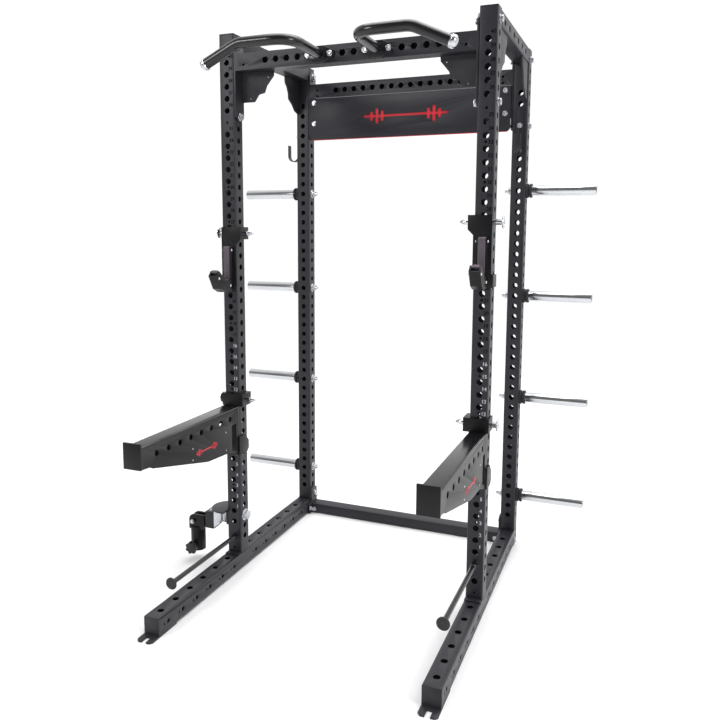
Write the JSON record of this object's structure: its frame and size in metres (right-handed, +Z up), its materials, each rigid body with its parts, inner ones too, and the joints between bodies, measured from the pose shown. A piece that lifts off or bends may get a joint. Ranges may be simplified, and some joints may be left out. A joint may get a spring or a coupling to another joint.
{
  "type": "power cage",
  "caption": "Four-post squat rack of drilled square tube with J-cups, spotter arms, pull-up handles, storage pegs, band pegs, hooks and a landmine.",
  "frame": {"origin": "middle of the footprint's bounding box, on the floor", "axes": "+Z up, +X to the right of a lifter's view from the front, +Y from the front to the back of the cage"},
  "size_m": [1.83, 1.527, 2.4],
  "materials": {
    "frame_paint": "satin textured charcoal powder coat",
    "red_paint": "satin red powder coat",
    "chrome": "bright chrome plate",
    "black_plastic": "smooth black plastic",
    "liner_plastic": "matte grey polyethylene",
    "rubber": "matte black rubber",
    "zinc": "zinc plated steel"
  },
  "bodies": {
    "frame": {"left_base_beam": "frame_paint", "right_base_beam": "frame_paint", "left_front_post": "frame_paint", "right_front_post": "frame_paint", "left_rear_post": "frame_paint", "right_rear_post": "frame_paint", "left_front_cap": "black_plastic", "right_front_cap": "black_plastic", "left_rear_cap": "black_plastic", "right_rear_cap": "black_plastic", "front_crossmember": "frame_paint", "rear_crossmember": "frame_paint", "left_side_beam": "frame_paint", "right_side_beam": "frame_paint", "lower_crossmember": "frame_paint", "name_plate": "frame_paint", "name_plate_backing": "red_paint", "left_pullup_handle": "frame_paint", "right_pullup_handle": "frame_paint", "left_handle_cap": "chrome", "right_handle_cap": "chrome", "left_storage_peg_1": "chrome", "left_storage_peg_2": "chrome", "left_storage_peg_3": "chrome", "left_storage_peg_4": "chrome", "right_storage_peg_1": "chrome", "right_storage_peg_2": "chrome", "right_storage_peg_3": "chrome", "right_storage_peg_4": "chrome", "left_peg_stop_1": "rubber", "left_peg_stop_2": "rubber", "left_peg_stop_3": "rubber", "left_peg_stop_4": "rubber", "right_peg_stop_1": "rubber", "right_peg_stop_2": "rubber", "right_peg_stop_3": "rubber", "right_peg_stop_4": "rubber", "left_band_peg": "frame_paint", "right_band_peg": "frame_paint", "left_accessory_hook": "frame_paint", "right_accessory_hook": "frame_paint", "landmine_mount": "frame_paint"},
    "left_cup": {"left_j_cup": "frame_paint", "left_cup_back_liner": "liner_plastic", "left_cup_lip_liner": "liner_plastic"},
    "right_cup": {"right_j_cup": "frame_paint", "right_cup_back_liner": "liner_plastic", "right_cup_lip_liner": "liner_plastic"},
    "left_cup_pin": {"left_cup_pin": "chrome"},
    "right_cup_pin": {"right_cup_pin": "chrome"},
    "left_arm": {"left_spotter_arm": "frame_paint", "left_arm_pad": "black_plastic"},
    "right_arm": {"right_spotter_arm": "frame_paint", "right_arm_pad": "black_plastic"},
    "left_arm_pin": {"left_arm_pin": "chrome"},
    "right_arm_pin": {"right_arm_pin": "chrome"},
    "landmine_swivel": {"landmine_swivel": "zinc", "landmine_clevis": "black_plastic"},
    "landmine_sleeve": {"landmine_sleeve": "frame_paint"},
    "landmine_knob": {"landmine_knob": "black_plastic"}
  },
  "joints": [
    {"name": "left_cup_height", "type": "slide", "parent": "frame", "child": "left_cup", "axis": [0, 0, 1], "range_m": [-0.15, 0.45]},
    {"name": "right_cup_height", "type": "slide", "parent": "frame", "child": "right_cup", "axis": [0, 0, 1], "range_m": [-0.2, 0.4]},
    {"name": "left_cup_pin_pull", "type": "slide", "parent": "left_cup", "child": "left_cup_pin", "axis": [-1, 0, 0], "range_m": [0, 0.15]},
    {"name": "right_cup_pin_pull", "type": "slide", "parent": "right_cup", "child": "right_cup_pin", "axis": [1, 0, 0], "range_m": [0, 0.15]},
    {"name": "left_arm_height", "type": "slide", "parent": "frame", "child": "left_arm", "axis": [0, 0, 1], "range_m": [-0.25, 0.05]},
    {"name": "right_arm_height", "type": "slide", "parent": "frame", "child": "right_arm", "axis": [0, 0, 1], "range_m": [-0.3, 0.3]},
    {"name": "left_arm_pin_pull", "type": "slide", "parent": "left_arm", "child": "left_arm_pin", "axis": [-1, 0, 0], "range_m": [0, 0.15]},
    {"name": "right_arm_pin_pull", "type": "slide", "parent": "right_arm", "child": "right_arm_pin", "axis": [1, 0, 0], "range_m": [0, 0.15]},
    {"name": "landmine_turn", "type": "hinge", "parent": "frame", "child": "landmine_swivel", "pos_m": [-0.63, -0.0215, 0.24], "axis": [0, 0, 1], "range_deg": [-60, 60]},
    {"name": "landmine_tilt", "type": "hinge", "parent": "landmine_swivel", "child": "landmine_sleeve", "pos_m": [-0.796, -0.0215, 0.189], "axis": [0, 1, 0], "range_deg": [0, 100]},
    {"name": "landmine_clamp", "type": "hinge", "parent": "landmine_sleeve", "child": "landmine_knob", "pos_m": [-0.785, -0.09, 0.072], "axis": [0, 1, 0], "continuous": true}
  ]
}
